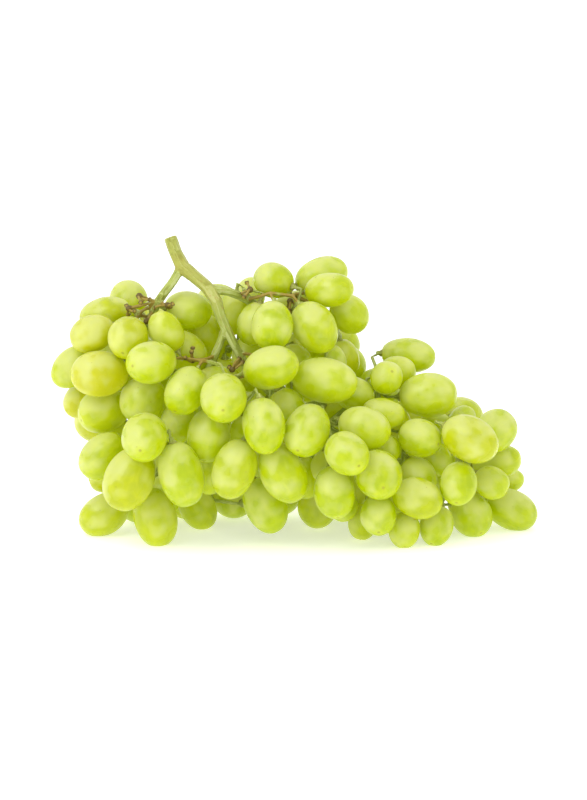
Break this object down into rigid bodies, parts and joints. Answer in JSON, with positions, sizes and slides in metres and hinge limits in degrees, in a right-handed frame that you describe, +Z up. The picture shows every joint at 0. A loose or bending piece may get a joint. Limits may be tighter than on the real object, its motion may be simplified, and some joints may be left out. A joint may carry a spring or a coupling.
{
  "type": "bunch of grapes",
  "caption": "Loose, shouldered bunch of oval pale green table grapes on a branched stem, lying at rest on a flat surface.",
  "frame": {"origin": "middle of the bounding box, at the level of the surface that the bunch lies on", "axes": "+X along the bunch from its shoulders to its tail, +Y to its far side, +Z up"},
  "size_m": [0.2102, 0.1118, 0.1299],
  "materials": {
    "grape_skin": "thin waxy grape skin over translucent flesh, soft satin gloss with a dull bloom",
    "tucked_grape_skin": "the same waxy skin, on the berries that sit deeper in the bunch, with their thin pedicels",
    "stem": "green, faintly ridged woody stem, tan at its forks and cut end, with dried brown pedicels"
  },
  "bodies": {
    "root": {"berry_left_shoulder_1": "grape_skin", "berry_left_shoulder_2": "grape_skin", "berry_left_shoulder_3": "grape_skin", "berry_left_shoulder_4": "grape_skin", "berry_left_shoulder_5": "grape_skin", "berry_left_shoulder_6": "grape_skin", "berry_left_shoulder_7": "grape_skin", "berry_crown_1": "grape_skin", "berry_right_shoulder_1": "grape_skin", "berry_right_shoulder_2": "grape_skin", "berry_right_shoulder_3": "grape_skin", "berry_right_shoulder_4": "grape_skin", "berry_right_shoulder_5": "grape_skin", "berry_breast_1": "grape_skin", "berry_breast_2": "grape_skin", "berry_breast_3": "grape_skin", "berry_breast_4": "grape_skin", "berry_breast_5": "grape_skin", "berry_breast_6": "grape_skin", "berry_breast_7": "grape_skin", "berry_breast_8": "grape_skin", "berry_lower_left_1": "grape_skin", "berry_lower_left_2": "grape_skin", "berry_lower_left_3": "grape_skin", "berry_lower_left_4": "grape_skin", "berry_lower_left_5": "grape_skin", "berry_lower_left_6": "grape_skin", "berry_lower_left_7": "grape_skin", "berry_lower_left_8": "grape_skin", "berry_lower_left_9": "grape_skin", "berry_middle_1": "grape_skin", "berry_middle_2": "grape_skin", "berry_middle_3": "grape_skin", "berry_middle_4": "grape_skin", "berry_middle_5": "grape_skin", "berry_middle_6": "grape_skin", "berry_middle_7": "grape_skin", "berry_tail_1": "grape_skin", "berry_tail_2": "grape_skin", "berry_tail_3": "grape_skin", "berry_tail_4": "grape_skin", "berry_tail_5": "grape_skin", "berry_tail_6": "grape_skin", "berry_tail_7": "grape_skin", "berry_tail_8": "grape_skin", "berry_tail_9": "grape_skin", "sprig_left_shoulder": "tucked_grape_skin", "sprig_left_flank": "tucked_grape_skin", "sprig_left_foot": "tucked_grape_skin", "sprig_crown": "tucked_grape_skin", "sprig_crown_back": "tucked_grape_skin", "sprig_heart": "tucked_grape_skin", "sprig_lower_middle": "tucked_grape_skin", "sprig_right_shoulder": "tucked_grape_skin", "sprig_right_flank": "tucked_grape_skin", "sprig_middle_foot": "tucked_grape_skin", "sprig_waist": "tucked_grape_skin", "sprig_tail_root": "tucked_grape_skin", "sprig_tail_tip": "tucked_grape_skin", "stem": "stem"}
  },
  "joints": []
}
